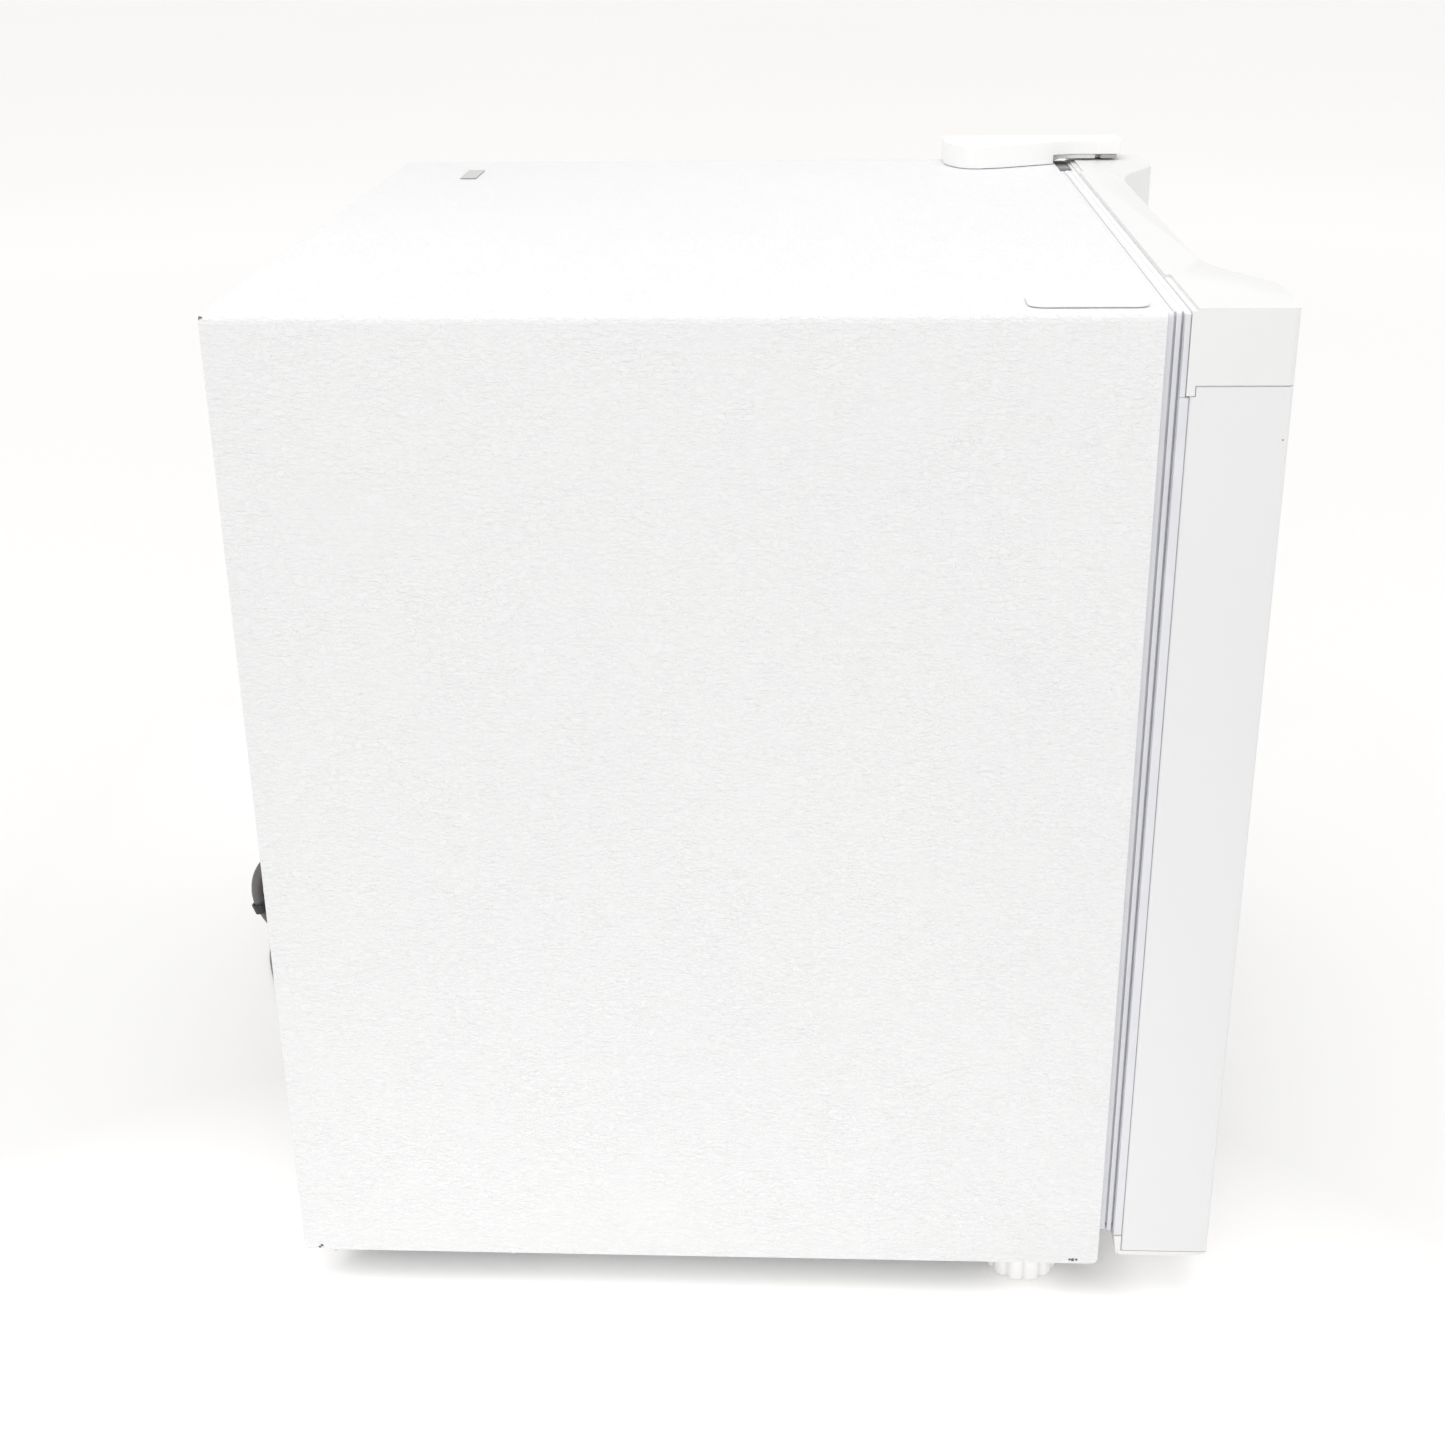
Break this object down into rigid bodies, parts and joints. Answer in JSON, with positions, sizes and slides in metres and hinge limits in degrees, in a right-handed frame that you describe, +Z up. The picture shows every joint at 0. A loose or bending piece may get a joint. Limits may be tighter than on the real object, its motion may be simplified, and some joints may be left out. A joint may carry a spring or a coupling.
{
  "type": "mini fridge",
  "caption": "Compact cube refrigerator with a right-hinged flat door that has a scooped finger grip along its top edge, levelling front feet, an ice box and a rear machine compartment.",
  "frame": {"origin": "centre of the footprint (cabinet with its closed door, lead left out) on the floor", "axes": "+Z up, the door faces -Y, +X is the right-hand side seen from the front"},
  "size_m": [0.46, 0.5578, 0.5051],
  "materials": {
    "shell_paint": "fine leather-grain emboss, satin",
    "door_paint": "smooth, semi-gloss",
    "white_plastic": "satin moulded",
    "liner_plastic": "vacuum-formed, semi-gloss",
    "foam": "rigid foam",
    "gasket_rubber": "soft, pale grey",
    "galvanised_steel": "zinc coated",
    "hinge_steel": "plated",
    "zinc_plated": "zinc plated",
    "black_steel": "black enamel",
    "copper": "drawn copper tube",
    "aluminium": "mill finish",
    "black_rubber": "matt",
    "black_plastic": "matt",
    "cord_pvc": "matt dark grey",
    "clear_plastic": "clear moulded",
    "shelf_glass": "toughened, green edge",
    "label_grey": "plain printed film"
  },
  "bodies": {
    "cabinet": {"outer_shell": "shell_paint", "rear_panel": "galvanised_steel", "step_panel": "galvanised_steel", "bottom_panel": "galvanised_steel", "front_crossbar": "galvanised_steel", "inner_liner": "liner_plastic", "foam_insulation": "foam", "condenser_coil_left": "copper", "condenser_coil_right": "copper", "evaporator": "aluminium", "freezer_frame": "liner_plastic", "tray_runner_left": "liner_plastic", "tray_runner_right": "liner_plastic", "thermostat_housing": "liner_plastic", "thermostat_control": "zinc_plated", "compressor_base": "galvanised_steel", "compressor": "black_steel", "compressor_mount_1": "black_rubber", "compressor_mount_2": "black_rubber", "compressor_mount_3": "black_rubber", "compressor_mount_4": "black_rubber", "starter_box": "black_plastic", "suction_tube": "copper", "discharge_tube": "copper", "filter_drier": "copper", "rear_foot_left": "black_rubber", "rear_foot_right": "black_rubber", "upper_hinge_bracket": "hinge_steel", "upper_hinge_screw_1": "zinc_plated", "upper_hinge_screw_2": "zinc_plated", "upper_hinge_washer": "white_plastic", "hinge_cover": "white_plastic", "lower_hinge_bracket": "hinge_steel", "lower_hinge_screw_1": "zinc_plated", "lower_hinge_screw_2": "zinc_plated", "spare_hinge_hole_cover": "white_plastic", "blank_label": "label_grey", "cord_strain_relief": "black_plastic", "power_cord": "cord_pvc", "cord_coil": "cord_pvc", "coil_tie": "black_plastic", "cord_band": "black_plastic", "plug": "cord_pvc"},
    "door": {"door_skin": "door_paint", "door_top_cap": "white_plastic", "door_bottom_cap": "white_plastic", "door_foam": "foam", "door_liner": "liner_plastic", "door_gasket": "gasket_rubber", "door_rack_upper": "clear_plastic", "door_rack_lower": "clear_plastic", "bottle_rail": "white_plastic"},
    "freezer_flap": {"freezer_flap": "clear_plastic"},
    "thermostat_knob": {"thermostat_knob": "white_plastic"},
    "shelf": {"shelf_glass": "shelf_glass", "shelf_front_trim": "liner_plastic"},
    "drip_tray": {"drip_tray": "clear_plastic"},
    "front_foot_left": {"front_foot_left": "white_plastic"},
    "front_foot_right": {"front_foot_right": "white_plastic"}
  },
  "joints": [
    {"name": "door_hinge", "type": "hinge", "parent": "cabinet", "child": "door", "pos_m": [0.2215, -0.195, 0.25], "axis": [0, 0, 1], "range_deg": [0, 120]},
    {"name": "freezer_flap_hinge", "type": "hinge", "parent": "cabinet", "child": "freezer_flap", "pos_m": [-0.035, -0.071, 0.365], "axis": [1, 0, 0], "range_deg": [0, 90]},
    {"name": "thermostat_turn", "type": "hinge", "parent": "cabinet", "child": "thermostat_knob", "pos_m": [0.156, -0.055, 0.424], "axis": [0, -1, 0], "range_deg": [0, 270]},
    {"name": "shelf_slide", "type": "slide", "parent": "cabinet", "child": "shelf", "axis": [0, -1, 0], "range_m": [0, 0.075]},
    {"name": "drip_tray_slide", "type": "slide", "parent": "cabinet", "child": "drip_tray", "axis": [0, -1, 0], "range_m": [0, 0.085]},
    {"name": "front_foot_left_turn", "type": "hinge", "parent": "cabinet", "child": "front_foot_left", "pos_m": [-0.202, -0.136, 0.01], "axis": [0, 0, 1], "continuous": true},
    {"name": "front_foot_right_turn", "type": "hinge", "parent": "cabinet", "child": "front_foot_right", "pos_m": [0.202, -0.136, 0.01], "axis": [0, 0, 1], "continuous": true}
  ]
}
